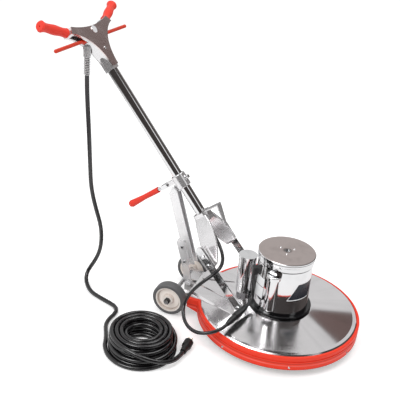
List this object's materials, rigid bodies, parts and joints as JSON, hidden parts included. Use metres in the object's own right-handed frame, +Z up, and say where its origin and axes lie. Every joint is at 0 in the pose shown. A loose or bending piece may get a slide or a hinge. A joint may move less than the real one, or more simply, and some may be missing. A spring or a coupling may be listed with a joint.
{
  "type": "floor polishing machine",
  "caption": "Walk-behind floor burnisher with a round metal deck, upright motor over a spinning pad, rear wheels and a braced leaning handle with grips, switch levers and a coiled cord.",
  "frame": {"origin": "on the floor at the centre of the polishing pad's lower face, on the motor shaft's axis", "axes": "+X forward, away from the handle; +Y to the machine's left; +Z up along the motor shaft"},
  "size_m": [1.171, 0.7915, 1.0389],
  "materials": {
    "deck_aluminium": "brushed",
    "bumper_red": "satin",
    "fastener_steel": "satin",
    "black_rubber": "satin",
    "cast_aluminium": "cast",
    "chrome": "polished",
    "satin_steel": "satin",
    "motor_iron": "satin",
    "capacitor_plastic": "satin",
    "black_plastic": "satin",
    "tyre_grey": "satin",
    "hub_cream": "satin",
    "pad_felt": "matte",
    "driver_plastic": "satin",
    "grip_red": "satin",
    "lever_red": "gloss",
    "head_mirror": "polished",
    "cord_black": "satin",
    "pin_brass": "polished"
  },
  "bodies": {
    "deck": {"deck_hood": "deck_aluminium", "bumper": "bumper_red", "bumper_rivets": "fastener_steel", "motor_base_ring": "black_rubber", "lower_end_bell": "cast_aluminium", "motor_shell": "chrome", "motor_cap": "satin_steel", "cap_screws": "fastener_steel", "stator": "motor_iron", "motor_bearings": "fastener_steel", "deck_bolts": "fastener_steel", "capacitor_covers": "chrome", "capacitors": "capacitor_plastic", "capacitor_bracket": "fastener_steel", "lead_gland": "black_plastic", "rear_carriage": "cast_aluminium", "axle": "fastener_steel", "axle_nuts": "black_plastic", "pivot_brackets": "cast_aluminium", "pivot_bolts": "chrome", "brace_pivot": "chrome", "cord_coil": "cord_black", "plug_body": "black_rubber", "plug_pins": "pin_brass", "power_cord": "cord_black", "motor_lead": "cord_black", "lead_connector": "black_plastic", "lead_end": "cord_black"},
    "pad_drive": {"motor_shaft": "fastener_steel", "rotor_core": "motor_iron", "cooling_fan": "cast_aluminium", "drive_hub": "cast_aluminium", "pad_driver": "driver_plastic", "polishing_pad": "pad_felt", "pad_lock": "black_plastic"},
    "right_wheel": {"right_tyre": "tyre_grey", "right_hub": "hub_cream"},
    "left_wheel": {"left_tyre": "tyre_grey", "left_hub": "hub_cream"},
    "handle": {"handle_tube": "chrome", "yoke": "cast_aluminium", "side_links": "chrome", "link_bolts": "chrome", "cord_hook": "chrome", "head_body": "cast_aluminium", "head_plate": "head_mirror", "head_screw": "chrome", "handle_grips": "grip_red", "switch_box": "black_plastic", "cord_gland": "black_plastic", "spring_guard": "fastener_steel"},
    "collar": {"clamp_collar": "cast_aluminium", "collar_pins": "chrome"},
    "brace": {"brace_channel": "chrome", "brace_bar": "chrome", "brace_bolts": "chrome"},
    "clamp_handle": {"clamp_lever": "chrome", "clamp_grip": "grip_red"},
    "right_lever": {"right_switch_lever": "lever_red"},
    "left_lever": {"left_switch_lever": "lever_red"}
  },
  "joints": [
    {"name": "pad_spin", "type": "hinge", "parent": "deck", "child": "pad_drive", "pos_m": [0, 0, 0], "axis": [0, 0, 1], "continuous": true},
    {"name": "right_wheel_spin", "type": "hinge", "parent": "deck", "child": "right_wheel", "pos_m": [-0.388, -0.121, 0.0635], "axis": [0, 1, 0], "continuous": true},
    {"name": "left_wheel_spin", "type": "hinge", "parent": "deck", "child": "left_wheel", "pos_m": [-0.388, 0.121, 0.0635], "axis": [0, 1, 0], "continuous": true},
    {"name": "handle_tilt", "type": "hinge", "parent": "deck", "child": "handle", "pos_m": [-0.1215, 0, 0.107], "axis": [0, 1, 0], "range_deg": [-12, 12], "deforming": ["power_cord", "motor_lead"]},
    {"name": "collar_slide", "type": "slide", "parent": "handle", "child": "collar", "axis": [-0.6293, 0, 0.7771], "range_m": [-0.06, 0.06]},
    {"name": "brace_hinge", "type": "hinge", "parent": "collar", "child": "brace", "pos_m": [-0.44215, 0, 0.45212], "axis": [0, 1, 0], "range_deg": [-6, 6]},
    {"name": "clamp_release", "type": "hinge", "parent": "collar", "child": "clamp_handle", "pos_m": [-0.4792, 0, 0.45815], "axis": [0, 1, 0], "range_deg": [0, 50]},
    {"name": "right_switch", "type": "hinge", "parent": "handle", "child": "right_lever", "pos_m": [-0.79573, -0.062, 0.95072], "axis": [-0.7771, 0, -0.6293], "range_deg": [0, 12], "stiffness_Nm_per_rad": 1.5, "springref_deg": -8.59},
    {"name": "left_switch", "type": "hinge", "parent": "handle", "child": "left_lever", "pos_m": [-0.79573, 0.062, 0.95072], "axis": [0.7771, 0, 0.6293], "range_deg": [0, 12], "stiffness_Nm_per_rad": 1.5, "springref_deg": -8.59}
  ],
  "couplings": [
    {"joint": "collar_slide", "follows": "handle_tilt", "m_per_rad": -0.25776},
    {"joint": "brace_hinge", "follows": "handle_tilt", "ratio": 0.38632}
  ]
}
